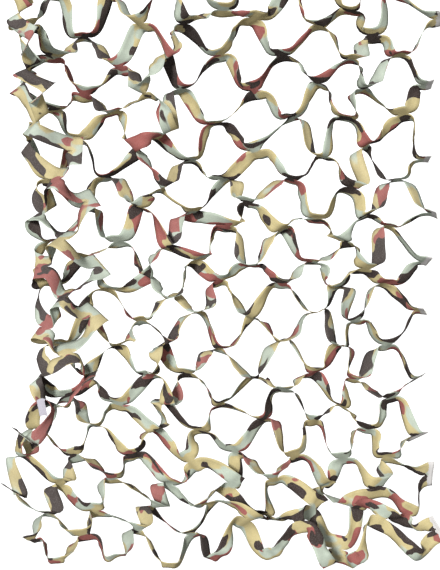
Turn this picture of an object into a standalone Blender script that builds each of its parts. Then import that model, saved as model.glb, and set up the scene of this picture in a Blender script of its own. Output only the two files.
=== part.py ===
"""A camouflage net, hung from its top edge with its lower end kicking forward over the floor.

The net is one piece of printed cloth. It is cut with staggered rows of straight slits, so that it
stays whole, and its own weight pulls it open like expanded metal. What is left between two rows of
slits is a strip, which runs from one selvedge to the other. Each strip is joined to the strip above
and to the strip below by turns, at short joints.

Metres. +Z is up and -Y is the side that is looked at. The origin is the middle of the top edge,
where the net is held. The cloth is laid out flat, slit, and each of its points is then moved to
where it hangs.
"""

import math
import random

import bmesh
import bpy
from mathutils import Quaternion, Vector

# The flat cloth. A strip's joints are numbered from 0 at the left selvedge.
STRIPS = 21  # from the top edge down
JOINTS = 17  # along one strip
STRIP_WIDTH = 0.028
JOINT_LENGTH = 0.016
JOINT_PITCH = 0.0984  # along a strip, from one joint to the next
THICKNESS = 0.0015
ARM_STEPS = 3  # faces along the free run between two joints

# The net as it hangs. A place on it is a column, which counts joints, and a row, which counts strips.
FIRST_COLUMN = -1  # of joint 0
COLUMN_WIDTH = 0.054
ROW_HEIGHT = 0.055
MIDDLE_COLUMN = 7
TOP_ROW = -0.5

# The lower end leaves the wall plane on an arc and then runs straight down to the floor.
BEND_START = 0.80  # how far down the sheet the arc begins
BEND_RADIUS = 0.30
BEND_ANGLE = math.radians(55)

# The left border is folded over towards the viewer, and its cut ends hang in front of the net: at
# each row, the column where the fold begins, and how far round it goes.
FOLD_RADIUS = 0.021
FOLD_CLIMB = 0.25  # how far the folded border rises for the way that it goes back to the right
BORDER = (
    # row, column, degrees
    (-0.5, 1.6, 85),
    (3.6, 1.5, 115),
    (7.2, 1.9, 178),
    (13.4, 1.8, 178),
    (15.2, 1.5, 110),
    (16.8, 1.2, 60),
    (18.6, 0.2, 30),
    (20.5, 0.2, 30),
)

# On the floor the left half spreads out and the right half bunches into deep folds: where the
# columns come to lie by the last row.
SPREAD_FROM_ROW = 15.4
SPREAD_BY_ROW = 19.6
FLOOR_COLUMNS = (
    # column, place
    (-1.0, 1.2),
    (6.0, 8.1),
    (15.0, 15.2),
)
FLOOR_FOLD_DEPTH = 0.035
FLOOR_FOLD_COLUMNS = 3.1  # in one fold
FLOOR_FOLDS_START = 5.5
OPEN_FADE = 4.0  # in columns, from where the net lies open to where it is bunched

# Curtain waves, in and out: depth, columns in one wave, lean in columns a row, and where it starts.
WAVES = (
    # depth, length, lean, start
    (0.014, 5.1, 0.10, 0.6),
    (0.009, 3.1, -0.16, 2.2),
    (0.006, 1.9, 0.05, 4.0),
)

# Where the net is uneven, as lines on it from one place to another. A line that draws in gathers the
# cells beside it into a pleat, and one with a negative draw spreads them into large cells.
PLEATS = (
    # column, row, to column, to row, reach in columns, draw, out
    (12.3, -0.5, 12.4, 15.0, 1.2, 0.60, 0.055),
    (6.2, -0.5, 5.4, 7.0, 1.2, 0.60, 0.055),
    (5.7, 8.0, 5.6, 14.0, 1.2, 0.60, 0.055),
    (3.2, 14.6, 5.0, 15.2, 1.1, 0.30, 0.020),
    (7.9, 3.8, 7.9, 3.8, 1.5, -0.55, -0.006),
    (8.1, 13.1, 8.1, 13.1, 1.5, -0.30, 0.0),
    (14.2, 12.6, 14.2, 15.4, 1.3, -0.30, 0.0),
    (4.2, 1.8, 5.2, 2.8, 1.3, -0.30, 0.0),
)

# How a joint's joined pair of strips leans, and how unevenly the net hangs.
SEED = 19
JOINT_TILT = math.radians(30)
TILT_SPREAD = math.radians(11)
FLOOR_TILT = math.radians(38)  # how much less it leans where the net lies open on the floor
FLOOR_CALM = 0.6  # how much more evenly the net lies there
YAW_SPREAD = math.radians(30)
ROLL_SPREAD = math.radians(17)
COLUMN_SPREAD = 0.42
ROW_SPREAD = 0.55
NEAREST = 0.064  # two joints that share an arm
FARTHEST = 0.093
SETTLE_ROUNDS = 30
DEPTH_SPREAD = 0.010
SLACK = 0.027  # how far a strip runs on past a joint before it turns into its arm
SLACK_SPREAD = 0.008
BOW_SPREAD = 0.35  # the slope that a joint's two ends bend to
LEAST_TURN = math.radians(-35)  # a strip twists so that its slit opens, and hardly the other way
MOST_TURN = math.radians(45)
TURN_EASE = 0.32  # the share of an arm in which it twists, at each end

# Arms that twist until they show their face: the strip, the joint to the arm's left, and the twist.
TURNED_ARMS = (
    # strip, joint, degrees
    (1, 8, 40),
    (2, 13, 40),
    (7, 10, 45),
    (11, 7, 45),
    (14, 14, 45),
)

# Joints that face aside: the line below which strip, the joint, and how far round.
TURNED_JOINTS = (
    # line, joint, degrees
    (1, 10, 38),
    (4, 5, 36),
    (6, 9, -38),
    (11, 6, 38),
    (12, 5, 38),
    (11, 14, -36),
    (1, 14, -38),
)

# The blank care label. It is sewn on top of a joint of the folded border, bends over the edge that
# is nearest the viewer and hangs.
LABEL_LINE = 14
LABEL_JOINT = 1
LABEL_SIDE = -1  # of the joint: the fold has turned its back edge to the viewer
LABEL_WIDTH = 0.021
LABEL_LENGTH = 0.043
LABEL_SEWN = 0.007
LABEL_BEND = 0.003
LABEL_THICKNESS = 0.001
LABEL_STEPS = 16
SEAT_GAP = 0.0004

NEARLY_NONE = 0.00001  # a mesh rounds its places by less than this


def clear_scene():
    for thing in list(bpy.data.objects):
        bpy.data.objects.remove(thing, do_unlink=True)


def hang_line(down):
    """The sheet's middle line at this distance down it: y, z and the slope from straight down."""
    if down < BEND_START:
        return 0.0, -down, 0.0
    angle = min((down - BEND_START) / BEND_RADIUS, BEND_ANGLE)
    past = down - BEND_START - angle * BEND_RADIUS
    forward = BEND_RADIUS * (1 - math.cos(angle)) + past * math.sin(angle)
    drop = BEND_RADIUS * math.sin(angle) + past * math.cos(angle)
    return -forward, -BEND_START - drop, angle


def eased(share):
    share = min(max(share, 0.0), 1.0)
    return (1 - math.cos(math.pi * share)) / 2


def border_fold(row):
    """Where the border's fold begins at a row, and how far round it goes."""
    row = min(max(row, BORDER[0][0]), BORDER[-1][0])
    for (above, column, degrees), (below, next_column, next_degrees) in zip(BORDER, BORDER[1:]):
        if row <= below:
            break
    share = eased((row - above) / (below - above))
    turn = math.radians(degrees + (next_degrees - degrees) * share)
    return column + (next_column - column) * share, turn


def border_line(column, row):
    """Where a column lies: across to the right, and how far out and up the folded border brings it."""
    fold_column, most = border_fold(row)
    straight = (fold_column - MIDDLE_COLUMN) * COLUMN_WIDTH
    if column >= fold_column:
        return (column - MIDDLE_COLUMN) * COLUMN_WIDTH, 0.0, 0.0
    run = (fold_column - column) * COLUMN_WIDTH
    angle = min(run / FOLD_RADIUS, most)
    past = run - angle * FOLD_RADIUS
    left = FOLD_RADIUS * math.sin(angle) + past * math.cos(angle)
    out = FOLD_RADIUS * (1 - math.cos(angle)) + past * math.sin(angle)
    return straight - left, out, past * FOLD_CLIMB * eased(angle / math.pi)


def on_floor(column, row):
    """Where the floor spreads or bunches a column to, and how far out its folds stand."""
    settled = eased((row - SPREAD_FROM_ROW) / (SPREAD_BY_ROW - SPREAD_FROM_ROW))
    for (left, place), (right, next_place) in zip(FLOOR_COLUMNS, FLOOR_COLUMNS[1:]):
        if column <= right:
            break
    share = (column - left) / (right - left)
    spread = place + (next_place - place) * share
    past = column - FLOOR_FOLDS_START
    fold = math.sin(2 * math.pi * past / FLOOR_FOLD_COLUMNS) if past > 0 else 0.0
    return column + (spread - column) * settled, FLOOR_FOLD_DEPTH * fold * settled


def lying_open(column, row):
    """How far a place belongs to the left of the floor, where the net lies open."""
    settled = eased((row - SPREAD_FROM_ROW) / (SPREAD_BY_ROW - SPREAD_FROM_ROW))
    return settled * (1 - eased((column - FLOOR_FOLDS_START) / OPEN_FADE))


def pleated(column, row):
    """Where the pleats draw a place on the net to, and how far out they bring it."""
    moved_column, moved_row, out = column, row, 0.0
    for from_column, from_row, to_column, to_row, reach, draw, rise in PLEATS:
        run = Vector((to_column - from_column, to_row - from_row))
        place = Vector((column - from_column, row - from_row))
        share = min(max(place.dot(run) / run.length_squared, 0.0), 1.0) if run.length else 0.0
        away = place - run * share
        near = math.exp(-((away.length / reach) ** 2))
        moved_column -= away.x * draw * near
        moved_row -= away.y * draw * near
        out += rise * near
    return moved_column, moved_row, out


def sheet_point(column, row, out=0.0):
    """A point of the smooth sheet that the net would be if it had no holes."""
    column, row, pleat_out = pleated(column, row)
    column, fold_out = on_floor(column, row)
    out += pleat_out + fold_out
    across, border_out, climb = border_line(column, row)
    for depth, length, lean, start in WAVES:
        out += depth * math.sin(2 * math.pi * (column + lean * row + start) / length)
    y, z, slope = hang_line((row - TOP_ROW) * ROW_HEIGHT)
    out += border_out
    return Vector((across, y - out * math.cos(slope), z + climb + out * math.sin(slope)))


def sheet_frame(column, row):
    """The sheet's own directions at a place: along the strips, up it, and out of it."""
    step = 0.05
    along = sheet_point(column + step, row) - sheet_point(column - step, row)
    up = sheet_point(column, row - step) - sheet_point(column, row + step)
    along.normalize()
    out = along.cross(up).normalized()
    return along, out.cross(along), out


def settle(places):
    """Moves the joints over the sheet until no two that share an arm are too near or too far apart."""
    for _ in range(SETTLE_ROUNDS):
        for line, number in places:
            for beside in (number - 1, number + 1):
                if (line + 1, beside) not in places:
                    continue
                upper, lower = places[line, number], places[line + 1, beside]
                apart = (sheet_point(*lower) - sheet_point(*upper)).length
                push = (lower - upper) * (min(max(apart, NEAREST), FARTHEST) / apart - 1) / 4
                push.y *= line >= 0
                places[line, number] = upper - push
                places[line + 1, beside] = lower + push


def make_joints():
    """One joint for each line below a strip and each joint number that the slits leave whole."""
    rng = random.Random(SEED)
    yaws = {(line, number): math.radians(degrees) for line, number, degrees in TURNED_JOINTS}
    places, draws = {}, {}
    for line in range(-1, STRIPS):
        for number in range(JOINTS):
            draw = [rng.uniform(-1, 1) for _ in range(8)]
            if (line + number + FIRST_COLUMN) % 2:
                continue
            even = Vector((number + FIRST_COLUMN, line + 0.5))
            calm = 1 - FLOOR_CALM * lying_open(*even)
            off = Vector((COLUMN_SPREAD * draw[0], ROW_SPREAD * draw[1] * (line >= 0)))
            places[line, number] = even + off * calm
            draws[line, number] = draw
    settle(places)
    joints = {}
    for key, draw in draws.items():
        along, up, out = sheet_frame(*places[key])
        opened = lying_open(*places[key])
        calm = 1 - FLOOR_CALM * opened
        yaw = yaws.get(key, YAW_SPREAD * draw[2] * calm)
        turn = Quaternion(up, yaw) @ Quaternion(out, ROLL_SPREAD * draw[3] * calm)
        along = turn @ along
        out = turn @ out
        tilt = JOINT_TILT + TILT_SPREAD * draw[4] - FLOOR_TILT * opened
        width = out * math.cos(tilt) + along.cross(out) * -math.sin(tilt)
        joints[key] = {
            "place": sheet_point(*places[key], DEPTH_SPREAD * draw[5]),
            "along": along,
            "width": width,
            "bend": along.cross(width) * BOW_SPREAD * draw[7],
            "slack": SLACK + SLACK_SPREAD * draw[6],
        }
    return joints


def make_turns():
    rng = random.Random(SEED + 1)
    turns = {
        (strip, joint): rng.uniform(LEAST_TURN, MOST_TURN)
        for strip in range(STRIPS)
        for joint in range(JOINTS - 1)
    }
    for strip, joint, degrees in TURNED_ARMS:
        turns[strip, joint] = math.radians(degrees)
    return turns


def joint_of(joints, strip, number):
    """The joint that holds a strip at this number, and the strip's middle there."""
    below = (strip + number + FIRST_COLUMN) % 2 == 0
    joint = joints[strip if below else strip - 1, number]
    side = 0.5 if below else -0.5
    return joint, joint["place"] + joint["width"] * STRIP_WIDTH * side


def cloth_point(joints, turns, strip, along, across):
    """Where a point of the flat cloth hangs: along its strip from the left, and up from its middle."""
    number = min(int((along + NEARLY_NONE) / JOINT_PITCH), JOINTS - 1)
    past = along - number * JOINT_PITCH
    half = JOINT_LENGTH / 2
    joint, middle = joint_of(joints, strip, number)
    if past <= JOINT_LENGTH + NEARLY_NONE:
        run = past - half
        bow = joint["bend"] * run**2 / JOINT_LENGTH
        return middle + joint["along"] * run + bow + joint["width"] * across
    following, end_middle = joint_of(joints, strip, number + 1)
    share = (past - JOINT_LENGTH) / (JOINT_PITCH - JOINT_LENGTH)
    start = middle + joint["along"] * half + joint["bend"] * half / 2
    end = end_middle - following["along"] * half + following["bend"] * half / 2
    leave = start + (joint["along"] + joint["bend"]) * joint["slack"]
    arrive = end - (following["along"] - following["bend"]) * following["slack"]
    rest = 1 - share
    point = (
        start * rest**3
        + leave * 3 * rest**2 * share
        + arrive * 3 * rest * share**2
        + end * share**3
    )
    tangent = (
        (leave - start) * rest**2
        + (arrive - leave) * 2 * rest * share
        + (end - arrive) * share**2
    ).normalized()
    level = (joint["along"] * rest + following["along"] * share).normalized()
    width = joint["width"] * rest + following["width"] * share
    width = level.rotation_difference(tangent) @ (width - level * width.dot(level)).normalized()
    ease = math.sin(math.pi / 2 * min(1.0, share / TURN_EASE, rest / TURN_EASE)) ** 2
    width = Quaternion(tangent, turns[strip, number] * ease) @ width
    return point + width * across


def cut_positions():
    """Where the flat cloth's columns of faces begin and end, along a strip."""
    arm = JOINT_PITCH - JOINT_LENGTH
    places = []
    for number in range(JOINTS):
        places.append(number * JOINT_PITCH)
        steps = ARM_STEPS if number < JOINTS - 1 else 1
        places += [number * JOINT_PITCH + JOINT_LENGTH + arm * n / ARM_STEPS for n in range(steps)]
    return places


def slit_cloth(places):
    """The flat cloth as a mesh, slit in staggered rows."""
    mesh = bmesh.new()
    columns = len(places) - 1
    bmesh.ops.create_grid(mesh, x_segments=columns, y_segments=STRIPS, size=0.5)
    for vert in mesh.verts:
        column = round((vert.co.x + 0.5) * columns)
        line = round((0.5 - vert.co.y) * STRIPS)
        vert.co = (places[column], -line * STRIP_WIDTH, 0.0)
    slits = []
    for edge in mesh.edges:
        left, right = sorted(edge.verts, key=lambda vert: vert.co.x)
        line = round(-left.co.y / STRIP_WIDTH) - 1
        across = abs(left.co.y - right.co.y) > STRIP_WIDTH / 2
        if across or line < 0 or line >= STRIPS - 1:
            continue
        number = round((left.co.x + right.co.x - JOINT_LENGTH) / 2 / JOINT_PITCH)
        at_joint = abs(left.co.x - number * JOINT_PITCH) < NEARLY_NONE
        if not at_joint or (line + number + FIRST_COLUMN) % 2:
            slits.append(edge)
    bmesh.ops.split_edges(mesh, edges=slits)
    return mesh


def open_cloth(mesh, joints, turns):
    """Moves each point of the flat, slit cloth to where it hangs."""
    hung = {}
    for vert in mesh.verts:
        middle = max(face.calc_center_median().y for face in vert.link_faces)
        strip = int(-middle / STRIP_WIDTH)
        across = vert.co.y - middle
        hung[vert] = cloth_point(joints, turns, strip, vert.co.x, across)
    for vert, place in hung.items():
        vert.co = place
    # both sides of a twisted face then fold along the same diagonal
    bmesh.ops.triangulate(mesh, faces=mesh.faces)


def label_point(joint, down, across):
    """Where a point of the label lies: down it from its sewn end, and across it from its middle."""
    out = joint["width"] * LABEL_SIDE
    above = out.cross(joint["along"]) * LABEL_SIDE
    lift = THICKNESS / 2 + SEAT_GAP + LABEL_THICKNESS / 2
    place = joint["place"] + joint["bend"] * JOINT_LENGTH / 4
    place += out * STRIP_WIDTH + above * lift + joint["along"] * across
    if down <= LABEL_SEWN:
        return place + out * (down - LABEL_SEWN)
    most = math.acos(-out.z)
    angle = min((down - LABEL_SEWN) / LABEL_BEND, most)
    past = down - LABEL_SEWN - angle * LABEL_BEND
    place += (out * math.sin(angle) - above * (1 - math.cos(angle))) * LABEL_BEND
    return place + (out * math.cos(angle) - above * math.sin(angle)) * past


def make_label(joint):
    mesh = bmesh.new()
    bmesh.ops.create_grid(mesh, x_segments=1, y_segments=LABEL_STEPS, size=0.5)
    for vert in mesh.verts:
        down = (0.5 - vert.co.y) * LABEL_LENGTH
        vert.co = label_point(joint, down, vert.co.x * LABEL_WIDTH)
    return mesh


def principled(name, colour, roughness):
    material = bpy.data.materials.new(name)
    material.use_nodes = True
    shader = material.node_tree.nodes["Principled BSDF"]
    shader.inputs["Base Color"].default_value = (*colour, 1.0)
    shader.inputs["Roughness"].default_value = roughness
    shader.inputs["Metallic"].default_value = 0.0
    return material


def add_object(name, mesh, material, collection, thickness):
    data = bpy.data.meshes.new(name)
    bmesh.ops.recalc_face_normals(mesh, faces=mesh.faces)
    mesh.to_mesh(data)
    mesh.free()
    data.materials.append(material)
    thing = bpy.data.objects.new(name, data)
    collection.objects.link(thing)
    solidify = thing.modifiers.new("Thickness", "SOLIDIFY")
    solidify.thickness = thickness
    solidify.offset = 0.0
    return thing


def build():
    clear_scene()
    collection = bpy.data.collections.new("camouflage_net")
    bpy.context.scene.collection.children.link(collection)
    joints = make_joints()
    turns = make_turns()
    net = slit_cloth(cut_positions())
    open_cloth(net, joints, turns)
    cloth = principled("printed net cloth", (0.30, 0.30, 0.20), 0.9)
    add_object("net", net, cloth, collection, THICKNESS)
    label = make_label(joints[LABEL_LINE, LABEL_JOINT])
    white = principled("white label tape", (0.85, 0.85, 0.87), 0.7)
    add_object("care_label", label, white, collection, LABEL_THICKNESS)


build()
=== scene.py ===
# %% [markdown]
# # A camouflage net in Blender
#
# The net is one sheet of printed polyester. A machine cuts staggered rows of straight slits in it,
# and its own weight then pulls it open, as a slit metal sheet opens into expanded metal. It hangs
# from its top edge, its left border is folded over to the front, and its lower end lies out towards
# the viewer.
#
# A packed engineering model gives the true sizes and stands in for the net in a physics engine. The
# first cell loads it and keeps its box, whose lowest point sets the floor's level. The first cell
# loads it and keeps its box, because the fine model below has to stay inside that box.

# %% Load the frame that everything is built around
import math
import random

import bmesh
import bpy
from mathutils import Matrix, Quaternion, Vector, noise


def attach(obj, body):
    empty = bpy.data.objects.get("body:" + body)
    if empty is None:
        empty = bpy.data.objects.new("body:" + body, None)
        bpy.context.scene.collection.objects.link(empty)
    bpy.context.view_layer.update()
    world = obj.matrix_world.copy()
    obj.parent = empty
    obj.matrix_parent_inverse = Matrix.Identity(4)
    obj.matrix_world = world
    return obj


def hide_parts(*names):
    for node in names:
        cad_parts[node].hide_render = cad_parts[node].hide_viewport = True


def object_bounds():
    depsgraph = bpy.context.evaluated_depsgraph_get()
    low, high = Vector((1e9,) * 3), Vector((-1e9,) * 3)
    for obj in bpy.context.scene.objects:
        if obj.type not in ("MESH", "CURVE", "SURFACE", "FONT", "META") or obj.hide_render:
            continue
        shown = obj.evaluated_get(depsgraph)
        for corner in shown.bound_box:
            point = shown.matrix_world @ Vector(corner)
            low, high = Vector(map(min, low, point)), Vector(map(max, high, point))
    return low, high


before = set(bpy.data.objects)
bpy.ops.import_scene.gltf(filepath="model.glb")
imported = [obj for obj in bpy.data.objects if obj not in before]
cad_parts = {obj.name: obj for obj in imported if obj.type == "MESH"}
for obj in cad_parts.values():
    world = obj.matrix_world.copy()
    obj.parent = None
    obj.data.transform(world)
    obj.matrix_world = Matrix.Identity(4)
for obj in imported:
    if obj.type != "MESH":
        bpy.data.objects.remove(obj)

cad_box = [list(corner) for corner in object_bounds()]
print("frame nodes:", sorted(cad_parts), "box:", cad_box)

# %% [markdown]
# ## The flat cloth
#
# All the sizes of the cloth before it is opened sit here. What is left between two rows of slits is
# a strip. Strips stay joined at short joints, and the free run between two joints is an arm. The
# fine model has many faces along each arm and four across, so that an arm can curl and ripple.

# %% Sizes of the flat cloth, in metres
STRIPS = 21  # from the top edge down
JOINTS = 17  # along one strip
STRIP_WIDTH = 0.028
JOINT_LENGTH = 0.016
JOINT_PITCH = 0.0984  # along a strip, from one joint to the next
CLOTH_THICKNESS = 0.0005
ARM_STEPS = 14  # faces along an arm
JOINT_STEPS = 4  # faces along a joint
ACROSS_STEPS = 4  # faces across a strip

FLAT_WIDTH = (JOINTS - 1) * JOINT_PITCH + JOINT_LENGTH

# %% [markdown]
# ## Where the sheet hangs
#
# It would take thousands of hand-placed points to drape this net. Instead, a place on the net is a
# column, which counts joints from the left, and a row, which counts strips from the top. A few
# functions turn a column and a row into a point in space: one brings the lower end forward, one
# folds the left border over, one spreads the end over the floor, and short tables place the pleats.

# %% The lattice and the line that it hangs along
FIRST_COLUMN = -1  # of joint 0
COLUMN_WIDTH = 0.054
ROW_HEIGHT = 0.055
MIDDLE_COLUMN = 7
TOP_ROW = -0.5
BEND_START = 0.80  # how far down the sheet its lower end starts to come forward
BEND_RADIUS = 0.30
BEND_ANGLE = math.radians(55)


def eased(share):
    """A share from 0 to 1 that starts and ends gently."""
    share = min(max(share, 0.0), 1.0)
    return (1 - math.cos(math.pi * share)) / 2


def hang_line(down):
    """The sheet's middle line at this distance down it: y, z and the slope from straight down."""
    if down < BEND_START:
        return 0.0, -down, 0.0
    angle = min((down - BEND_START) / BEND_RADIUS, BEND_ANGLE)
    past = down - BEND_START - angle * BEND_RADIUS
    forward = BEND_RADIUS * (1 - math.cos(angle)) + past * math.sin(angle)
    drop = BEND_RADIUS * math.sin(angle) + past * math.cos(angle)
    return -forward, -BEND_START - drop, angle


low_y, low_z, _ = hang_line(STRIPS * ROW_HEIGHT)
print("the lower edge lies", round(-low_y, 3), "m forward and", round(-low_z, 3), "m down")

# %% The left border, folded over to the front
FOLD_RADIUS = 0.021
FOLD_CLIMB = 0.25  # how far the folded border rises for the way that it goes back to the right
BORDER = (
    # row, column where the fold begins, degrees that it goes round
    (-0.5, 1.6, 85),
    (3.6, 1.5, 115),
    (7.2, 1.9, 178),
    (13.4, 1.8, 178),
    (15.2, 1.5, 110),
    (16.8, 1.2, 60),
    (18.6, 0.2, 30),
    (20.5, 0.2, 30),
)


def border_fold(row):
    """Where the border's fold begins at a row, and how far round it goes."""
    row = min(max(row, BORDER[0][0]), BORDER[-1][0])
    for (above, column, degrees), (below, next_column, next_degrees) in zip(BORDER, BORDER[1:]):
        if row <= below:
            break
    share = eased((row - above) / (below - above))
    turn = math.radians(degrees + (next_degrees - degrees) * share)
    return column + (next_column - column) * share, turn


def border_line(column, row):
    """Where a column lies: across to the right, and how far out and up the border brings it."""
    fold_column, most = border_fold(row)
    straight = (fold_column - MIDDLE_COLUMN) * COLUMN_WIDTH
    if column >= fold_column:
        return (column - MIDDLE_COLUMN) * COLUMN_WIDTH, 0.0, 0.0
    run = (fold_column - column) * COLUMN_WIDTH
    angle = min(run / FOLD_RADIUS, most)
    past = run - angle * FOLD_RADIUS
    left = FOLD_RADIUS * math.sin(angle) + past * math.cos(angle)
    out = FOLD_RADIUS * (1 - math.cos(angle)) + past * math.sin(angle)
    return straight - left, out, past * FOLD_CLIMB * eased(angle / math.pi)


folded = math.degrees(border_fold(STRIPS / 2)[1])
print("halfway down, the border is folded round by", round(folded), "degrees")

# %% The lower end, spread and bunched on the floor
SPREAD_FROM_ROW = 15.4
SPREAD_BY_ROW = 19.6
FLOOR_COLUMNS = (
    # column, the column that it comes to lie at
    (-1.0, 1.2),
    (6.0, 8.1),
    (15.0, 15.2),
)
FLOOR_FOLD_DEPTH = 0.035
FLOOR_FOLD_COLUMNS = 3.1  # in one fold
FLOOR_FOLDS_START = 5.5
OPEN_FADE = 4.0  # in columns, from where the net lies open to where it is bunched


def floor_share(row):
    """How far a row has come to lie on the floor."""
    return eased((row - SPREAD_FROM_ROW) / (SPREAD_BY_ROW - SPREAD_FROM_ROW))


def on_floor(column, row):
    """Where the floor spreads or bunches a column to, and how far out its folds stand."""
    lying = floor_share(row)
    for (left, place), (right, next_place) in zip(FLOOR_COLUMNS, FLOOR_COLUMNS[1:]):
        if column <= right:
            break
    share = (column - left) / (right - left)
    spread = place + (next_place - place) * share
    past = column - FLOOR_FOLDS_START
    fold = math.sin(2 * math.pi * past / FLOOR_FOLD_COLUMNS) if past > 0 else 0.0
    return column + (spread - column) * lying, FLOOR_FOLD_DEPTH * fold * lying


print("on the floor, column 0 comes to lie at column", round(on_floor(0, STRIPS)[0], 2))

# %% Waves and pleats
WAVES = (
    # depth, columns in one wave, lean in columns a row, start
    (0.014, 5.1, 0.10, 0.6),
    (0.009, 3.1, -0.16, 2.2),
    (0.006, 1.9, 0.05, 4.0),
)
PLEATS = (
    # from column and row, to column and row, reach in columns, draw (below 0 spreads), out
    (12.3, -0.5, 12.4, 15.0, 1.2, 0.60, 0.055),
    (6.2, -0.5, 5.4, 7.0, 1.2, 0.60, 0.055),
    (5.7, 8.0, 5.6, 14.0, 1.2, 0.60, 0.055),
    (3.2, 14.6, 5.0, 15.2, 1.1, 0.30, 0.020),
    (7.9, 3.8, 7.9, 3.8, 1.5, -0.55, -0.006),
    (8.1, 13.1, 8.1, 13.1, 1.5, -0.30, 0.0),
    (14.2, 12.6, 14.2, 15.4, 1.3, -0.30, 0.0),
    (4.2, 1.8, 5.2, 2.8, 1.3, -0.30, 0.0),
)


def lying_open(column, row):
    """How far a place belongs to the left of the floor, where the net lies open."""
    return floor_share(row) * (1 - eased((column - FLOOR_FOLDS_START) / OPEN_FADE))


def pleated(column, row):
    """Where the pleats draw a place on the net to, and how far out they bring it."""
    moved_column, moved_row, out = column, row, 0.0
    for from_column, from_row, to_column, to_row, reach, draw, rise in PLEATS:
        run = Vector((to_column - from_column, to_row - from_row))
        place = Vector((column - from_column, row - from_row))
        share = min(max(place.dot(run) / run.length_squared, 0.0), 1.0) if run.length else 0.0
        away = place - run * share
        near = math.exp(-((away.length / reach) ** 2))
        moved_column -= away.x * draw * near
        moved_row -= away.y * draw * near
        out += rise * near
    return moved_column, moved_row, out


def sheet_point(column, row, out=0.0):
    """A point of the smooth sheet that the net would be if it had no holes."""
    column, row, pleat_out = pleated(column, row)
    column, fold_out = on_floor(column, row)
    out += pleat_out + fold_out
    across, border_out, climb = border_line(column, row)
    for depth, length, lean, start in WAVES:
        out += depth * math.sin(2 * math.pi * (column + lean * row + start) / length)
    y, z, slope = hang_line((row - TOP_ROW) * ROW_HEIGHT)
    out += border_out
    return Vector((across, y - out * math.cos(slope), z + climb + out * math.sin(slope)))


def sheet_frame(column, row):
    """The sheet's own directions at a place: along the strips, up it, and out of it."""
    step = 0.05  # in columns and in rows
    along = sheet_point(column + step, row) - sheet_point(column - step, row)
    up = sheet_point(column, row - step) - sheet_point(column, row + step)
    along.normalize()
    out = along.cross(up).normalized()
    return along, out.cross(along), out


print("the top left corner hangs at", sheet_point(FIRST_COLUMN, TOP_ROW))

# %% [markdown]
# ## The joints
#
# When the net opens, each joint tips forward, because the two strips that meet there pull it up and
# down from opposite edges. So a joint has a place, a direction along the strips and a direction
# across them that leans out of the sheet. Seeded random draws make each one hang a little unlike
# its neighbours, and a short table turns the few that clearly face aside.

# %% Work out every joint
SEED = 19
JOINT_TILT = math.radians(30)
TILT_SPREAD = math.radians(11)
FLOOR_TILT = math.radians(38)  # how much less it leans where the net lies open on the floor
FLOOR_CALM = 0.6  # how much more evenly the net lies there
YAW_SPREAD = math.radians(30)
ROLL_SPREAD = math.radians(17)
COLUMN_SPREAD = 0.42  # in columns
ROW_SPREAD = 0.55  # in rows
NEAREST = 0.064  # that two joints that share an arm come to
FARTHEST = 0.093
SETTLE_ROUNDS = 30
SETTLE_STEP = 0.25  # of what is wrong between two joints, taken up by each of them in a round
DEPTH_SPREAD = 0.010
SLACK = 0.027  # how far a strip runs on past a joint before it turns into its arm
SLACK_SPREAD = 0.008
BOW_SPREAD = 0.35  # the slope that a joint's two ends bend to
DRAWN = ("column", "row", "yaw", "roll", "tilt", "depth", "slack", "bend")  # in this order
TURNED_JOINTS = (
    # line below which strip, joint, degrees
    (1, 10, 38),
    (4, 5, 36),
    (6, 9, -38),
    (11, 6, 38),
    (12, 5, 38),
    (11, 14, -36),
    (1, 14, -38),
)


def settle(places):
    """Moves the joints over the sheet so that no two that share an arm are too near or too far."""
    for _ in range(SETTLE_ROUNDS):
        for line, number in places:
            for beside in (number - 1, number + 1):
                if (line + 1, beside) not in places:
                    continue
                upper, lower = places[line, number], places[line + 1, beside]
                apart = (sheet_point(*lower) - sheet_point(*upper)).length
                wrong = min(max(apart, NEAREST), FARTHEST) / apart - 1
                push = (lower - upper) * wrong * SETTLE_STEP
                push.y *= line >= 0
                places[line, number] = upper - push
                places[line + 1, beside] = lower + push


def make_joints():
    """One joint for each line below a strip and each joint number that the slits leave whole."""
    rng = random.Random(SEED)
    yaws = {(line, number): math.radians(degrees) for line, number, degrees in TURNED_JOINTS}
    places, draws = {}, {}
    for line in range(-1, STRIPS):
        for number in range(JOINTS):
            draw = {name: rng.uniform(-1, 1) for name in DRAWN}
            if (line + number + FIRST_COLUMN) % 2:
                continue
            even = Vector((number + FIRST_COLUMN, line + 0.5))
            calm = 1 - FLOOR_CALM * lying_open(*even)
            held = line < 0  # the top edge is level
            row_off = 0.0 if held else ROW_SPREAD * draw["row"]
            off = Vector((COLUMN_SPREAD * draw["column"], row_off))
            places[line, number] = even + off * calm
            draws[line, number] = draw
    settle(places)
    joints = {}
    for key, draw in draws.items():
        along, up, out = sheet_frame(*places[key])
        opened = lying_open(*places[key])
        calm = 1 - FLOOR_CALM * opened
        yaw = yaws.get(key, YAW_SPREAD * draw["yaw"] * calm)
        roll = ROLL_SPREAD * draw["roll"] * calm
        turn = Quaternion(up, yaw) @ Quaternion(out, roll)
        along = turn @ along
        out = turn @ out
        tilt = JOINT_TILT + TILT_SPREAD * draw["tilt"] - FLOOR_TILT * opened
        width = out * math.cos(tilt) + along.cross(out) * -math.sin(tilt)
        joints[key] = {
            "place": sheet_point(*places[key], DEPTH_SPREAD * draw["depth"]),
            "along": along,
            "width": width,
            "bend": along.cross(width) * BOW_SPREAD * draw["bend"],
            "slack": SLACK + SLACK_SPREAD * draw["slack"],
        }
    return joints


joints = make_joints()

# %% [markdown]
# ## The arms
#
# An arm leaves one joint, twists and lands on the next, a row above or below. A cubic Bezier curve
# carries its middle line, and its width direction turns smoothly from one joint's to the other's,
# with a twist of its own that is strongest halfway.

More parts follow.
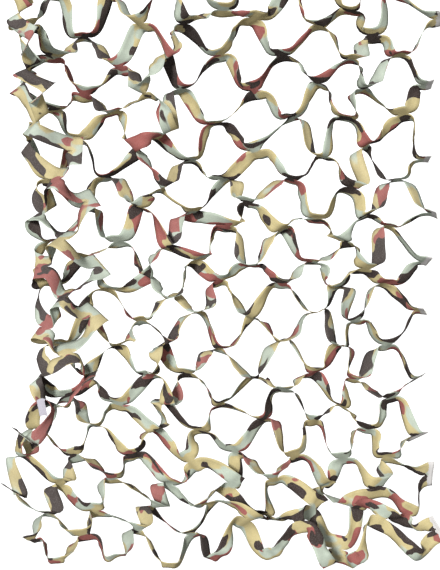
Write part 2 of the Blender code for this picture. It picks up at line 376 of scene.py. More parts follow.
# %% Twists, and where any point of the flat cloth hangs
LEAST_TURN = math.radians(-35)  # below 0, an arm twists the other way
MOST_TURN = math.radians(45)
TURN_EASE = 0.32  # the share of an arm in which it twists, at each end
NEARLY_NONE = 0.00001
TURNED_ARMS = (
    # strip, joint to the arm's left, degrees: these show their face
    (1, 8, 40),
    (2, 13, 40),
    (7, 10, 45),
    (11, 7, 45),
    (14, 14, 45),
)


def make_turns():
    """How far each arm twists: a seeded draw, or its own turn from the table."""
    rng = random.Random(SEED + 1)
    turns = {
        (strip, joint): rng.uniform(LEAST_TURN, MOST_TURN)
        for strip in range(STRIPS)
        for joint in range(JOINTS - 1)
    }
    for strip, joint, degrees in TURNED_ARMS:
        turns[strip, joint] = math.radians(degrees)
    return turns


def joint_of(strip, number):
    """The joint that holds a strip at this number, and the strip's middle there."""
    below = (strip + number + FIRST_COLUMN) % 2 == 0
    joint = joints[strip if below else strip - 1, number]
    side = 0.5 if below else -0.5
    return joint, joint["place"] + joint["width"] * STRIP_WIDTH * side


def cloth_point(strip, along, across):
    """Where a point of a strip hangs, which way its face looks, and how far along its arm it is."""
    number = min(int((along + NEARLY_NONE) / JOINT_PITCH), JOINTS - 1)
    past = along - number * JOINT_PITCH
    half = JOINT_LENGTH / 2
    joint, middle = joint_of(strip, number)
    if past <= JOINT_LENGTH + NEARLY_NONE:
        run = past - half
        bow = joint["bend"] * run**2 / JOINT_LENGTH
        place = middle + joint["along"] * run + bow + joint["width"] * across
        return place, joint["along"].cross(joint["width"]), 0.0
    following, end_middle = joint_of(strip, number + 1)
    share = (past - JOINT_LENGTH) / (JOINT_PITCH - JOINT_LENGTH)
    start = middle + joint["along"] * half + joint["bend"] * half / 2
    end = end_middle - following["along"] * half + following["bend"] * half / 2
    leave = start + (joint["along"] + joint["bend"]) * joint["slack"]
    arrive = end - (following["along"] - following["bend"]) * following["slack"]
    rest = 1 - share
    point = (
        start * rest**3
        + leave * 3 * rest**2 * share
        + arrive * 3 * rest * share**2
        + end * share**3
    )
    tangent = (
        (leave - start) * rest**2
        + (arrive - leave) * 2 * rest * share
        + (end - arrive) * share**2
    ).normalized()
    level = (joint["along"] * rest + following["along"] * share).normalized()
    width = joint["width"] * rest + following["width"] * share
    width = level.rotation_difference(tangent) @ (width - level * width.dot(level)).normalized()
    ease = math.sin(math.pi / 2 * min(1.0, share / TURN_EASE, rest / TURN_EASE)) ** 2
    width = Quaternion(tangent, turns[strip, number] * ease) @ width
    return point + width * across, tangent.cross(width), share


turns = make_turns()
print(len(turns), "arms, the first hangs through", cloth_point(0, JOINT_PITCH / 2, 0.0)[0])

# %% [markdown]
# ## Ripples and creases
#
# Thin cloth never hangs as a plain ruled ribbon. Three small things are added along the way that
# each face looks: every arm cups a little across its width, the whole cloth ripples, more so near
# its cut edges, and some arms keep a soft crease from when the net was packed.

# %% How far a point stands off its smooth strip
CUP_SPREAD = 0.0045
RIPPLE_DEPTH = 0.0011
RIPPLE_SIZE = 0.022
EDGE_RIPPLE = 1.6  # how much more the cut edges ripple than the middle
CREASE_DEPTH = 0.0032
CREASE_REACH = 0.16  # of the arm's length, on each side of a crease
CREASED_SHARE = 0.45  # of the arms
CREASE_LEAST = 0.4  # of its full depth
CREASE_PLACES = (0.25, 0.75)  # the part of an arm that a crease lies in
CREASE_LEAN = 0.25  # of the arm's length, between the strip's middle and its edge
CREASE_SHARPNESS = 1.5


def make_habits():
    """What is particular to each arm: its cup, and its crease's place, depth and lean across it."""
    rng = random.Random(SEED + 2)
    habits = {}
    for arm in turns:
        cup = rng.uniform(-CUP_SPREAD, CUP_SPREAD)
        crease = rng.choice((-1, 1)) * CREASE_DEPTH * rng.uniform(CREASE_LEAST, 1.0)
        crease *= rng.random() < CREASED_SHARE
        place = rng.uniform(*CREASE_PLACES)
        habits[arm] = cup, place, crease, rng.uniform(-CREASE_LEAN, CREASE_LEAN)
    return habits


def stand_off(strip, along, across, share):
    """How far the cloth stands out of its smooth strip at a point."""
    side = 2 * across / STRIP_WIDTH
    place = Vector((along, strip * STRIP_WIDTH - across, 0.0)) / RIPPLE_SIZE
    off = RIPPLE_DEPTH * noise.noise(place) * (1 + (EDGE_RIPPLE - 1) * side**2)
    if share <= 0.0:
        return off
    cup, crease_share, crease, lean = habits[strip, min(int(along / JOINT_PITCH), JOINTS - 2)]
    hump = math.sin(math.pi * share) ** 2
    away = abs(share - crease_share - lean * side) / CREASE_REACH
    crease *= max(0.0, 1 - away) ** CREASE_SHARPNESS
    return off + cup * (1 - side**2) * hump + crease * hump


habits = make_habits()
creased = sum(bool(crease) for _, _, crease, _ in habits.values())
print(creased, "of", len(habits), "arms are creased")

# %% [markdown]
# ## Cut the slits and open the cloth
#
# The mesh starts as the real cloth does: a flat grid, with its flat coordinates kept as a UV map in
# metres. Splitting the edges along each slit cuts it. Then each point of the flat cloth moves to
# where it hangs, and the UV map stays behind on it, so that the print follows the cloth.

# %% A flat grid, cut into strips
def cut_positions():
    """Where the flat cloth's columns of faces begin and end, along a strip."""
    arm = JOINT_PITCH - JOINT_LENGTH
    places = []
    for number in range(JOINTS):
        start = number * JOINT_PITCH
        places += [start + JOINT_LENGTH * n / JOINT_STEPS for n in range(JOINT_STEPS)]
        steps = ARM_STEPS if number < JOINTS - 1 else 1
        places += [start + JOINT_LENGTH + arm * n / ARM_STEPS for n in range(steps)]
    return places


def slit_cloth():
    """The flat cloth as a mesh, with its place as UVs and its staggered slits cut."""
    places = cut_positions()
    columns, lines = len(places) - 1, STRIPS * ACROSS_STEPS
    mesh = bmesh.new()
    bmesh.ops.create_grid(mesh, x_segments=columns, y_segments=lines, size=0.5)
    for vert in mesh.verts:
        column = round((vert.co.x + 0.5) * columns)
        line = round((0.5 - vert.co.y) * lines)
        vert.co = (places[column], -line * STRIP_WIDTH / ACROSS_STEPS, 0.0)
    flat = mesh.loops.layers.uv.new("flat_cloth")
    for face in mesh.faces:
        for loop in face.loops:
            loop[flat].uv = loop.vert.co.xy
    slits = []
    for edge in mesh.edges:
        left, right = sorted(edge.verts, key=lambda vert: vert.co.x)
        line = -left.co.y / STRIP_WIDTH
        on_line = abs(line - round(line)) < NEARLY_NONE / STRIP_WIDTH
        level = abs(left.co.y - right.co.y) < NEARLY_NONE
        if not (on_line and level and 0 < round(line) < STRIPS):
            continue
        number = int((left.co.x + NEARLY_NONE) / JOINT_PITCH)
        on_joint = right.co.x - number * JOINT_PITCH <= JOINT_LENGTH + NEARLY_NONE
        if not on_joint or (round(line) - 1 + number + FIRST_COLUMN) % 2:
            slits.append(edge)
    bmesh.ops.split_edges(mesh, edges=slits)
    return mesh


def hung_place(strip, along, across):
    """Where a point of a strip hangs, with its ripples and creases."""
    place, out, share = cloth_point(strip, along, across)
    return place + out * stand_off(strip, along, across, share)


def open_cloth(mesh):
    """Moves each point of the flat, slit cloth to where it hangs."""
    hung = {}
    for vert in mesh.verts:
        top = max(face.calc_center_median().y for face in vert.link_faces)
        strip = int(-top / STRIP_WIDTH)
        hung[vert] = hung_place(strip, vert.co.x, vert.co.y + (strip + 0.5) * STRIP_WIDTH)
    for vert, place in hung.items():
        vert.co = place


cloth = slit_cloth()
open_cloth(cloth)
print("the net has", len(cloth.faces), "faces before it gets its thickness")

# %% [markdown]
# ## The printed cloth
#
# The print has four colours: a sage green ground, khaki and red-brown blotches, and near-black
# branches over them. Real printers lay one screen over another, and the nodes do the same: each
# layer is cut from a noise and laid over the last, the khaki with a soft edge and the darker two
# with hard ones. The noise is read at a warped place, which breaks round blobs into the ragged
# shapes of such a print. It all follows the flat cloth's UV map, so that blotches bend with the
# strips.

# %% Small helpers for node trees
def add_node(tree, kind, settings=(), **inputs):
    """Adds a node. Settings are its properties, and inputs its sockets' values or their links."""
    made = tree.nodes.new(kind)
    for key, value in dict(settings).items():
        setattr(made, key, value)
    for key, value in inputs.items():
        socket = made.inputs[int(key[1:])] if key[0] == "_" else made.inputs[key.replace("_", " ")]
        if isinstance(value, bpy.types.NodeSocket):
            tree.links.new(value, socket)
        else:
            socket.default_value = value
    return made


def add_math(tree, operation, first, second):
    """A sum, a product or a test of two values, as the socket that gives it."""
    made = add_node(tree, "ShaderNodeMath", {"operation": operation}, _0=first, _1=second)
    return made.outputs[0]


def mix_colours(tree, share, below, above):
    """One colour laid over another by a share, as the socket that gives it."""
    made = add_node(tree, "ShaderNodeMix", {"data_type": "RGBA"}, _0=share, _6=below, _7=above)
    return made.outputs[2]


# %% The four-colour print as one node group
GROUND = (0.335, 0.380, 0.315, 1.0)  # sage green
WARP_SIZE = 30.0  # waves to the metre
WARP_REACH = 0.026  # in metres, from one side to the other
NOISE_MIDDLE = (0.5, 0.5, 0.5)
PRINT_LAYERS = (
    # name, colour, noise scale, place in the noise, share that starts it, how far its edge spreads
    ("khaki", (0.390, 0.330, 0.165, 1.0), 19.0, (1.7, 0.3, 2.0), 0.485, 0.022),
    ("red-brown", (0.245, 0.075, 0.065, 1.0), 18.0, (4.1, 7.7, 5.0), 0.585, 0.005),
    ("near-black", (0.030, 0.020, 0.017, 1.0), 21.0, (9.3, 2.9, 8.0), 0.565, 0.005),
)
PRINT_STRETCH = (0.75, 1.15, 1.0)  # blotches lie along the strips
PRINT_ROUGHNESS = 0.45


def make_print():
    """The print's colour at a place on the flat cloth."""
    group = bpy.data.node_groups.new("four colour print", "ShaderNodeTree")
    group.interface.new_socket("Flat place", in_out="INPUT", socket_type="NodeSocketVector")
    group.interface.new_socket("Colour", in_out="OUTPUT", socket_type="NodeSocketColor")
    place = add_node(group, "NodeGroupInput").outputs[0]
    stretch = {"operation": "MULTIPLY"}
    place = add_node(group, "ShaderNodeVectorMath", stretch, _0=place, _1=PRINT_STRETCH).outputs[0]
    warp = add_node(group, "ShaderNodeTexNoise", Vector=place, Scale=WARP_SIZE, Detail=2.0)
    centred = add_node(
        group,
        "ShaderNodeVectorMath",
        {"operation": "SUBTRACT"},
        _0=warp.outputs["Color"],
        _1=NOISE_MIDDLE,
    )
    warped = add_node(
        group,
        "ShaderNodeVectorMath",
        {"operation": "MULTIPLY_ADD"},
        _0=centred.outputs[0],
        _1=(WARP_REACH, WARP_REACH, 0.0),
        _2=place,
    ).outputs[0]
    colour = GROUND
    for name, ink, scale, start, share, spread in PRINT_LAYERS:
        moved = add_node(group, "ShaderNodeVectorMath", {"operation": "ADD"}, _0=warped, _1=start)
        blotch = add_node(
            group,
            "ShaderNodeTexNoise",
            {"label": name},
            Vector=moved.outputs[0],
            Scale=scale,
            Detail=1.0,
            Roughness=PRINT_ROUGHNESS,
        )
        edge = add_node(
            group,
            "ShaderNodeMapRange",
            {"interpolation_type": "SMOOTHSTEP"},
            _0=blotch.outputs[0],
            _1=share - spread,
            _2=share + spread,
        )
        colour = mix_colours(group, edge.outputs[0], colour, ink)
    group.links.new(colour, add_node(group, "NodeGroupOutput").inputs[0])
    return group


camouflage = make_print()
print("the print has", len(camouflage.nodes), "nodes")

# %% [markdown]
# ## Two sides of one cloth
#
# Ink sinks into the face of the cloth and shows paler on its back. So the cloth has two materials
# with the same print: one for the face, and a paler one for the back and the cut edges. Near its
# right selvedge the cloth was never printed and stays white. Two stretched noises let bare threads
# show along and across, coarser noise fades the ink unevenly, two crossed waves give the cloth a
# soft relief, and a share of the light passes through.

# %% The cloth's materials
UNPRINTED = (0.48, 0.465, 0.455, 1.0)
SELVEDGE = 0.012
SELVEDGE_MOST = 1.4 * SELVEDGE  # of the way in from the right and the raggedness together
RAGGED_SIZE = 160.0  # waves to the metre
FLECKS = ((280.0, 2600.0, 0.0), (2600.0, 280.0, 0.0))  # along and across, waves to the metre
FLECK_STARTS, FLECK_FULL = 0.52, 0.80  # in the noise
FLECK_SHARE = 0.16
FADING = ((45.0, 0.22), (520.0, 0.18))  # waves to the metre, and how far the ink's tone strays
SWELL_RADIAN = 0.0009  # a swell of the relief is 2 pi times as long
SWELL_DISTORTION = 0.6
WAVE_RADIANS = 20  # in one unit of the wave texture
RELIEF_DEPTH = 0.0002
CLOTH_RELIEF = 0.35
CLOTH_ROUGHNESS = 0.85
CLOTH_SPECULAR = 0.10


def cloth_relief(tree, place):
    """The height of the cloth's soft relief: swells along it crossed with swells across it."""
    waves = [
        add_node(
            tree,
            "ShaderNodeTexWave",
            {"bands_direction": direction},
            Vector=place,
            Scale=1 / SWELL_RADIAN / WAVE_RADIANS,
            Distortion=SWELL_DISTORTION,
            Detail=1.0,
        ).outputs["Fac"]
        for direction in "XY"
    ]
    return add_math(tree, "MULTIPLY", waves[0], waves[1])


def cloth_material(name, paleness, through):
    """The printed cloth from one side. Paleness mixes bare cloth in, and through lets light by."""
    material = bpy.data.materials.new(name)
    material.use_nodes = True
    tree = material.node_tree
    shader = tree.nodes["Principled BSDF"]
    flat = add_node(tree, "ShaderNodeUVMap", {"uv_map": "flat_cloth"}).outputs[0]
    printed = add_node(tree, "ShaderNodeGroup", {"node_tree": camouflage})
    tree.links.new(flat, printed.inputs[0])
    colour = mix_colours(tree, paleness, printed.outputs[0], UNPRINTED)
    along = add_node(tree, "ShaderNodeSeparateXYZ", _0=flat).outputs[0]
    ragged = add_node(tree, "ShaderNodeTexNoise", Vector=flat, Scale=RAGGED_SIZE, Detail=2.0)
    ragged = add_math(tree, "MULTIPLY", ragged.outputs[0], SELVEDGE)
    from_right = add_math(tree, "SUBTRACT", FLAT_WIDTH, along)
    inward = add_math(tree, "ADD", from_right, ragged)
    bare = add_math(tree, "LESS_THAN", inward, SELVEDGE_MOST)
    colour = mix_colours(tree, bare, colour, UNPRINTED)
    for direction in FLECKS:
        drawn = {"operation": "MULTIPLY"}
        thread = add_node(tree, "ShaderNodeVectorMath", drawn, _0=flat, _1=direction).outputs[0]
        fleck = add_node(tree, "ShaderNodeTexNoise", Vector=thread, Scale=1.0, Detail=1.0)
        shows = add_node(
            tree,
            "ShaderNodeMapRange",
            _0=fleck.outputs[0],
            _1=FLECK_STARTS,
            _2=FLECK_FULL,
            _4=FLECK_SHARE,
        )
        colour = mix_colours(tree, shows.outputs[0], colour, UNPRINTED)
    for size, depth in FADING:
        patchy = add_node(tree, "ShaderNodeTexNoise", Vector=flat, Scale=size, Detail=2.0)
        tone = add_node(
            tree, "ShaderNodeMapRange", _0=patchy.outputs[0], _3=1 - depth, _4=1 + depth
        )
        scaled = {"operation": "SCALE"}
        colour = add_node(
            tree, "ShaderNodeVectorMath", scaled, Vector=colour, Scale=tone.outputs[0]
        ).outputs[0]
    tree.links.new(colour, shader.inputs["Base Color"])
    shader.inputs["Roughness"].default_value = CLOTH_ROUGHNESS
    shader.inputs["Specular IOR Level"].default_value = CLOTH_SPECULAR
    bump = add_node(tree, "ShaderNodeBump", Strength=CLOTH_RELIEF, Distance=RELIEF_DEPTH)
    tree.links.new(cloth_relief(tree, flat), bump.inputs["Height"])
    tree.links.new(bump.outputs[0], shader.inputs["Normal"])
    glow = add_node(tree, "ShaderNodeBsdfTranslucent", Color=colour)
    cloth_shader = add_node(
        tree, "ShaderNodeMixShader", _0=through, _1=shader.outputs[0], _2=glow.outputs[0]
    )
    tree.links.new(cloth_shader.outputs[0], tree.nodes["Material Output"].inputs["Surface"])
    return material


BACK_PALENESS = 0.05
LIGHT_THROUGH = 0.20
face_cloth = cloth_material("printed face of the cloth", 0.0, LIGHT_THROUGH)
back_cloth = cloth_material("paler back of the cloth", BACK_PALENESS, LIGHT_THROUGH)
print("the face has", len(face_cloth.node_tree.nodes), "nodes around the print")

# %% [markdown]
# ## Give the cloth its thickness
#
# Solidify makes the sheet a closed body half a millimetre thick. It also takes care of the two
# sides: the shell that it adds behind, and the rim along each cut, take the second material.

# %% The net as an object
def finish_mesh(name, mesh, materials):
    """Makes a built mesh an object in the scene, with its materials."""
    data = bpy.data.meshes.new(name)
    mesh.to_mesh(data)
    mesh.free()
    for material in materials:
        data.materials.append(material)
    thing = bpy.data.objects.new(name, data)
    bpy.context.scene.collection.objects.link(thing)
    return thing


for face in cloth.faces:
    face.smooth = True
net = finish_mesh("printed_net", cloth, (face_cloth, back_cloth))
thickness = net.modifiers.new("Cloth thickness", "SOLIDIFY")
thickness.thickness = CLOTH_THICKNESS
thickness.offset = 0.0
thickness.material_offset = 1
thickness.material_offset_rim = 1
print("the net's first face looks along", net.data.polygons[0].normal)

# %% [markdown]
# ## Frayed threads
#
# Woven cloth frays where it is cut across, so a few pale threads stand out of both ends of a strip.
# They could be modelled one by one. A Geometry Nodes tree is better here, because it keeps their
# number, length and wildness as plain inputs: it takes the end edges as lines, walks along them in
# even steps, and stands one bent thread at each step, turned outward and a little at random.

# %% The end edges of all strips, as lines that know which way is outward
FRAY_STEPS = 6
FRAY_LOOK_BACK = 0.003  # along a strip, to see which way its end points


def line_mesh(name, lines):
    """A mesh of open lines. Each point carries a direction, kept as the attribute facing."""
    data = bpy.data.meshes.new(name)
    points = [point for line in lines for point, _ in line]
    edges, first = [], 0
    for line in lines:
        edges += [(first + n, first + n + 1) for n in range(len(line) - 1)]
        first += len(line)
    data.from_pydata(points, edges, [])
    facing = data.attributes.new("facing", "FLOAT_VECTOR", "POINT")
    facing.data.foreach_set("vector", [x for line in lines for _, way in line for x in way])
    made = bpy.data.objects.new(name, data)
    bpy.context.scene.collection.objects.link(made)
    return made


def end_line(strip, end, inward):
    """One cut end of a strip, as points with the way that its threads point."""
    line = []
    for n in range(FRAY_STEPS + 1):
        across = STRIP_WIDTH * (n / FRAY_STEPS - 0.5)
        place = hung_place(strip, end, across)
        line.append((place, (place - hung_place(strip, end + inward, across)).normalized()))
    return line


ends = ((0.0, FRAY_LOOK_BACK), (FLAT_WIDTH, -FRAY_LOOK_BACK))
fray = line_mesh("frayed_threads", [end_line(s, *end) for s in range(STRIPS) for end in ends])
print("threads stand on", len(fray.data.edges), "short edges")

# %% Helpers for geometry trees and for thread
def new_tree(name, inputs):
    """A geometry tree with named inputs, and its input node."""
    tree = bpy.data.node_groups.new(name, "GeometryNodeTree")
    tree.interface.new_socket("Geometry", in_out="INPUT", socket_type="NodeSocketGeometry")
    tree.interface.new_socket("Geometry", in_out="OUTPUT", socket_type="NodeSocketGeometry")
    for title, value in inputs.items():
        kind = "Int" if isinstance(value, int) else "Float"
        made = tree.interface.new_socket(title, in_out="INPUT", socket_type="NodeSocket" + kind)
        made.default_value = value
    return tree, add_node(tree, "NodeGroupInput")


def end_tree(tree, instances, material):
    """Ends a tree: the instances become real mesh and take their material."""
    real = add_node(tree, "GeometryNodeRealizeInstances", Geometry=instances)
    paint = add_node(tree, "GeometryNodeSetMaterial", Geometry=real.outputs[0], Material=material)
    tree.links.new(paint.outputs[0], add_node(tree, "NodeGroupOutput").inputs[0])


def tube(tree, shape, steps, radius, sides):
    """A thin bent tube, for a thread or a stitch. Its shape is a start, a middle and an end."""
    start, middle, end = shape
    bow = add_node(
        tree,
        "GeometryNodeCurveQuadraticBezier",
        Resolution=steps,
        Start=start,
        Middle=middle,
        End=end,
    )
    ring = add_node(tree, "GeometryNodeCurvePrimitiveCircle", Resolution=sides, _4=radius)
    made = add_node(
        tree, "GeometryNodeCurveToMesh", Curve=bow.outputs[0], Profile_Curve=ring.outputs[0]
    )
    made.inputs["Fill Caps"].default_value = True
    return made.outputs[0]


def grow(thing, tree):
    """Runs a tree on an object and keeps the result as a plain mesh."""
    modifier = thing.modifiers.new(tree.name, "NODES")
    modifier.node_group = tree
    graph = bpy.context.evaluated_depsgraph_get()
    grown = bpy.data.meshes.new_from_object(thing.evaluated_get(graph))
    thing.modifiers.remove(modifier)
    thing.data = grown
    return len(grown.polygons)


def plain_material(name, dark, light, scale, roughness):
    """Thread with a slightly uneven colour."""
    material = bpy.data.materials.new(name)
    material.use_nodes = True
    tree = material.node_tree
    place = add_node(tree, "ShaderNodeTexCoord").outputs["Object"]
    shade = add_node(tree, "ShaderNodeTexNoise", Vector=place, Scale=scale, Detail=2.0)
    colour = mix_colours(tree, shade.outputs[0], dark, light)
    tree.links.new(colour, tree.nodes["Principled BSDF"].inputs["Base Color"])
    tree.nodes["Principled BSDF"].inputs["Roughness"].default_value = roughness
    return material


# %% A tree that stands bent threads on lines
THREADS = {"Spacing": 0.0022, "Length": 0.0085, "Wildness": 0.75, "Seed": 5}
ASTRAY = ((-1.0, -1.0, -1.3), (1.0, 1.0, 0.7))  # least and most: threads stray down more than up
THREAD_LEAST = 0.15  # of the full length
THREAD_SHAPE = ((0.0, 0.0, -0.1), (0.25, 0.0, 0.5), (0.0, 0.2, 1.0))  # for a length of 1
THREAD_STEPS = 4
THREAD_RADIUS = 0.022  # of its length
THREAD_SIDES = 3
THREAD_SHADE = (0.36, 0.34, 0.27, 1.0)
THREAD_LIGHT = (0.60, 0.58, 0.52, 1.0)
THREAD_TONE_SIZE = 90.0  # waves to the metre
THREAD_ROUGHNESS = 0.9
thread_tree, given = new_tree("frayed threads", THREADS)
loose_thread = plain_material(
    "loose thread", THREAD_SHADE, THREAD_LIGHT, THREAD_TONE_SIZE, THREAD_ROUGHNESS
)
lines = add_node(thread_tree, "GeometryNodeMeshToCurve", Mesh=given.outputs["Geometry"])
steps = add_node(
    thread_tree,
    "GeometryNodeResampleCurve",
    {"mode": "LENGTH"},
    Curve=lines.outputs[0],
    Length=given.outputs["Spacing"],
)
outward = add_node(
    thread_tree, "GeometryNodeInputNamedAttribute", {"data_type": "FLOAT_VECTOR"}, Name="facing"
).outputs[0]
astray = add_node(
    thread_tree,
    "FunctionNodeRandomValue",
    {"data_type": "FLOAT_VECTOR"},
    _0=ASTRAY[0],
    _1=ASTRAY[1],
    Seed=given.outputs["Seed"],
).outputs[0]
way = add_node(
    thread_tree,
    "ShaderNodeVectorMath",
    {"operation": "MULTIPLY_ADD"},
    _0=astray,
    _1=given.outputs["Wildness"],
    _2=outward,
).outputs[0]
turned = add_node(thread_tree, "FunctionNodeAlignRotationToVector", {"axis": "Z"}, Vector=way)
shorter = add_node(
    thread_tree, "FunctionNodeRandomValue", _2=THREAD_LEAST, _3=1.0, Seed=given.outputs["Seed"]
).outputs[1]
long = add_math(thread_tree, "MULTIPLY", shorter, given.outputs["Length"])
one = tube(thread_tree, THREAD_SHAPE, THREAD_STEPS, THREAD_RADIUS, THREAD_SIDES)
threads = add_node(
    thread_tree,
    "GeometryNodeInstanceOnPoints",
    Points=steps.outputs[0],
    Instance=one,
    Rotation=turned.outputs[0],
    Scale=long,
)
end_tree(thread_tree, threads.outputs[0], loose_thread)
print("the frayed threads have", grow(fray, thread_tree), "faces")

# %% [markdown]
# ## The blank label
#
# A strip of white tape is folded over the edge of one joint and hangs free. It is a sheet too, so
# it is made like the net: a flat grid, laid by one function.

# %% The label tape
LABEL_LINE = 14  # below this strip
LABEL_JOINT = 1  # the joint's number along it
LABEL_SIDE = -1  # of the joint: the fold has turned its back edge to the viewer
LABEL_WIDTH = 0.021
LABEL_LENGTH = 0.043
LABEL_SEWN = 0.007  # how much of it lies on the cloth
LABEL_BEND = 0.003  # radius, where it leaves the cloth's edge
LABEL_THICKNESS = 0.0005
LABEL_LIFT = 0.0007  # of its middle above the cloth's middle
LABEL_STEPS_DOWN = 40
LABEL_STEPS_ACROSS = 12
LABEL_CURL = 0.0016  # of its long edges
LABEL_CURL_RUN = 0.015  # past the bend, before it curls in full
TAPE_SHADE = (0.22, 0.21, 0.24, 1.0)
TAPE_LIGHT = (0.36, 0.345, 0.385, 1.0)
TAPE_TONE_SIZE = 420.0  # waves to the metre
TAPE_ROUGHNESS = 0.6
TAPE_RELIEF = 0.3


def label_point(down, across, above_by=0.0):
    """Where a point of the label lies: down it from its sewn end, and across it from its middle."""
    joint = joints[LABEL_LINE, LABEL_JOINT]
    out = joint["width"] * LABEL_SIDE
    above = out.cross(joint["along"]) * LABEL_SIDE
    sewn_across = LABEL_SEWN - min(down, LABEL_SEWN) - STRIP_WIDTH / 2
    middle = LABEL_JOINT * JOINT_PITCH + JOINT_LENGTH / 2
    ripple = stand_off(LABEL_LINE + 1, middle + across, sewn_across, 0.0)
    place = joint["place"] + joint["bend"] * across**2 / JOINT_LENGTH + joint["along"] * across
    place += out * STRIP_WIDTH + above * (LABEL_LIFT + above_by - ripple)
    if down <= LABEL_SEWN:
        return place + out * (down - LABEL_SEWN)
    most = math.acos(-out.z)
    angle = min((down - LABEL_SEWN) / LABEL_BEND, most)
    past = down - LABEL_SEWN - angle * LABEL_BEND
    curled = min(1.0, max(0.0, past) / LABEL_CURL_RUN)
    curl = above * LABEL_CURL * (2 * across / LABEL_WIDTH) ** 2 * curled
    place += (out * math.sin(angle) - above * (1 - math.cos(angle))) * LABEL_BEND
    return place + (out * math.cos(angle) - above * math.sin(angle)) * past + curl


def label_material():
    """Smooth white tape, its tone hardly uneven."""
    material = bpy.data.materials.new("white woven tape")
    material.use_nodes = True
    tree = material.node_tree
    shader = tree.nodes["Principled BSDF"]
    flat = add_node(tree, "ShaderNodeUVMap", {"uv_map": "flat_tape"}).outputs[0]
    tone = add_node(tree, "ShaderNodeTexNoise", Vector=flat, Scale=TAPE_TONE_SIZE, Detail=2.0)
    tone = mix_colours(tree, tone.outputs[0], TAPE_SHADE, TAPE_LIGHT)
    tree.links.new(tone, shader.inputs["Base Color"])
    shader.inputs["Roughness"].default_value = TAPE_ROUGHNESS
    bump = add_node(tree, "ShaderNodeBump", Strength=TAPE_RELIEF, Distance=RELIEF_DEPTH)
    tree.links.new(cloth_relief(tree, flat), bump.inputs["Height"])
    tree.links.new(bump.outputs[0], shader.inputs["Normal"])
    return material


tape = bmesh.new()
bmesh.ops.create_grid(tape, x_segments=LABEL_STEPS_ACROSS, y_segments=LABEL_STEPS_DOWN, size=0.5)
tape_flat = tape.loops.layers.uv.new("flat_tape")
for face in tape.faces:
    face.smooth = True
    for loop in face.loops:
        loop[tape_flat].uv = (loop.vert.co.x * LABEL_WIDTH, loop.vert.co.y * LABEL_LENGTH)
for vert in tape.verts:
    vert.co = label_point((0.5 - vert.co.y) * LABEL_LENGTH, vert.co.x * LABEL_WIDTH)
bmesh.ops.recalc_face_normals(tape, faces=tape.faces)
white_tape = label_material()
label = finish_mesh("tape_label", tape, (white_tape,))
thickness = label.modifiers.new("Tape thickness", "SOLIDIFY")
thickness.thickness = LABEL_THICKNESS
thickness.offset = 0.0
print("the label hangs from", label.data.vertices[0].co)

# %% [markdown]
# ## The stitches that hold the label
#
# One row of plain stitches crosses the tape's sewn end, and shows on the back of the cloth too.
# A second tree lays them: it walks along both rows and sets one short raised stitch at each step,
# turned along the row and standing on the cloth.

# %% Two rows, one tree
ROW_DOWN = 0.0035  # from the tape's end
ROW_INSET = 0.0012  # from the tape's long edges
ROW_STEPS = 12
ROW_CLEAR = 0.00005  # of the thread's middle above the tape or the cloth
OVER = LABEL_THICKNESS / 2 + ROW_CLEAR
UNDER = -LABEL_LIFT - CLOTH_THICKNESS / 2 - ROW_CLEAR
LOOK_OFF = 0.001  # how far off the cloth a point is taken to see which way is off it


def stitch_row(above_by):
    """A row of stitches across the tape, as points with the way that faces off the cloth."""
    reach = LABEL_WIDTH / 2 - ROW_INSET
    row = []
    for n in range(ROW_STEPS + 1):
        across = reach * (2 * n / ROW_STEPS - 1)
        place = label_point(ROW_DOWN, across, above_by)
        farther = above_by + math.copysign(LOOK_OFF, above_by)
        off = label_point(ROW_DOWN, across, farther) - place
        row.append((place, off.normalized()))
    return row


STITCHES = {"Pitch": 0.0029, "Length": 0.0022}
STITCH_SHAPE = ((-0.5, 0.0, -0.1), (0.0, 0.0, 0.25), (0.5, 0.0, -0.1))  # for a length of 1
STITCH_STEPS = 6
STITCH_RADIUS = 0.09  # of its length
STITCH_SIDES = 6
STITCH_SHADE = (0.50, 0.49, 0.50, 1.0)
STITCH_LIGHT = (0.66, 0.65, 0.67, 1.0)
STITCH_TONE_SIZE = 600.0  # waves to the metre
STITCH_ROUGHNESS = 0.7
stitches = line_mesh("label_stitches", [stitch_row(OVER), stitch_row(UNDER)])
stitch_tree, given = new_tree("stitches in a row", STITCHES)
rows = add_node(stitch_tree, "GeometryNodeMeshToCurve", Mesh=given.outputs["Geometry"])
steps = add_node(
    stitch_tree,
    "GeometryNodeResampleCurve",
    {"mode": "LENGTH"},
    Curve=rows.outputs[0],
    Length=given.outputs["Pitch"],
)
off_cloth = add_node(
    stitch_tree, "GeometryNodeInputNamedAttribute", {"data_type": "FLOAT_VECTOR"}, Name="facing"
).outputs[0]
standing = add_node(
    stitch_tree, "FunctionNodeAlignRotationToVector", {"axis": "Z"}, Vector=off_cloth
).outputs[0]
along_row = add_node(stitch_tree, "GeometryNodeInputTangent").outputs[0]
turned = add_node(
    stitch_tree,
    "FunctionNodeAlignRotationToVector",
    {"axis": "X", "pivot_axis": "Z"},
    Rotation=standing,
    Vector=along_row,
)
one = tube(stitch_tree, STITCH_SHAPE, STITCH_STEPS, STITCH_RADIUS, STITCH_SIDES)
set_stitches = add_node(
    stitch_tree,
    "GeometryNodeInstanceOnPoints",
    Points=steps.outputs[0],
    Instance=one,
    Rotation=turned.outputs[0],
    Scale=given.outputs["Length"],
)
sewing_thread = plain_material(
    "sewing thread", STITCH_SHADE, STITCH_LIGHT, STITCH_TONE_SIZE, STITCH_ROUGHNESS
)
end_tree(stitch_tree, set_stitches.outputs[0], sewing_thread)
print("the stitches have", grow(stitches, stitch_tree), "faces")

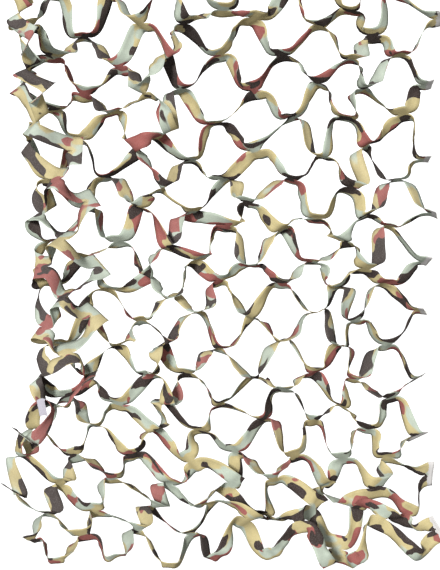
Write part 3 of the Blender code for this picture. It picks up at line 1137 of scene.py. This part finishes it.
# %% [markdown]
# ## The floor, the light and the camera
#
# A wide pale floor fills the view behind the net. The light is that of a bright white studio: an
# even sky, and one soft sun from the camera's side, a little above it and to its left. Cloth that
# faces the camera is then light, and cloth that turns away or faces down is dark. The floor and the
# sky also glow for the camera alone, which keeps them as white as a lit backdrop, hides the net's
# shadow and lights nothing.

# %% Floor and lights
WHITE = (1.0, 1.0, 1.0, 1.0)
FLOOR_GAP = 0.002
FLOOR_LEVEL = cad_box[0][2] - FLOOR_GAP
FLOOR_SIZE = 120.0
FLOOR_GREY = (0.40, 0.40, 0.40, 1.0)
FLOOR_GLOW = 0.92
SKY_GLOW = 1.0
SKY_LIGHT = 0.60
SUN_LIGHT = 6.3
SUN_SPREAD = math.radians(9)
SUN_HEIGHT = math.radians(24)
SUN_LEFT = math.radians(16)


def glow_seen(tree, by_camera, by_others):
    """A strength that is one value where the camera looks, and another for all that it lights."""
    looked_at = add_node(tree, "ShaderNodeLightPath").outputs["Is Camera Ray"]
    return add_node(tree, "ShaderNodeMix", _0=looked_at, _2=by_others, _3=by_camera).outputs[0]


floor_mesh = bmesh.new()
bmesh.ops.create_grid(floor_mesh, x_segments=1, y_segments=1, size=FLOOR_SIZE / 2)
for vert in floor_mesh.verts:
    vert.co.z = FLOOR_LEVEL
pale = bpy.data.materials.new("pale studio floor")
pale.use_nodes = True
pale_shader = pale.node_tree.nodes["Principled BSDF"]
pale_shader.inputs["Base Color"].default_value = FLOOR_GREY
pale_shader.inputs["Roughness"].default_value = 1.0
pale_shader.inputs["Specular IOR Level"].default_value = 0.0
pale_shader.inputs["Emission Color"].default_value = WHITE
pale.node_tree.links.new(
    glow_seen(pale.node_tree, FLOOR_GLOW, 0.0), pale_shader.inputs["Emission Strength"]
)
floor = finish_mesh("studio_floor", floor_mesh, (pale,))

world = bpy.data.worlds.new("white studio")
world.use_nodes = True
sky = world.node_tree.nodes["Background"]
sky.inputs["Color"].default_value = WHITE
world.node_tree.links.new(glow_seen(world.node_tree, SKY_GLOW, SKY_LIGHT), sky.inputs["Strength"])
bpy.context.scene.world = world

sun = bpy.data.lights.new("soft sun", "SUN")
sun.energy = SUN_LIGHT
sun.angle = SUN_SPREAD
sun_object = bpy.data.objects.new("soft sun", sun)
sun_object.rotation_euler = (math.pi / 2 - SUN_HEIGHT, 0.0, -SUN_LEFT)
bpy.context.scene.collection.objects.link(sun_object)
print("the floor lies at", round(FLOOR_LEVEL, 3), "m, and the sun shines at", SUN_LIGHT)

# %% The camera
CAMERA_HEIGHT = math.radians(15)
LOOK_AT = Vector((0.042, -0.02, -0.590))
CAMERA_DISTANCE = 2.7
FRAME_HEIGHT = 1.083  # at that distance, along the picture's long side
back = Vector((0.0, -math.cos(CAMERA_HEIGHT), math.sin(CAMERA_HEIGHT)))
lens = bpy.data.cameras.new("camera")
lens.lens = lens.sensor_width * CAMERA_DISTANCE / FRAME_HEIGHT
camera = bpy.data.objects.new("camera", lens)
camera.location = LOOK_AT + back * CAMERA_DISTANCE
camera.rotation_euler = (-back).to_track_quat("-Z", "Y").to_euler()
bpy.context.scene.collection.objects.link(camera)
bpy.context.scene.camera = camera
bpy.context.scene.view_settings.view_transform = "Standard"
print("the camera stands at", camera.location, "with a", round(lens.lens, 1), "mm lens")

# %% [markdown]
# ## The pieces on one body
#
# Each piece rides on the net's one body, and the plain stand-ins for the net and its care label are
# hidden.

# %% Put each piece on the net's body, and hide the stand-ins
for piece in (net, label, fray, stitches):
    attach(piece, "root")
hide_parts("net")
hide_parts("care_label")
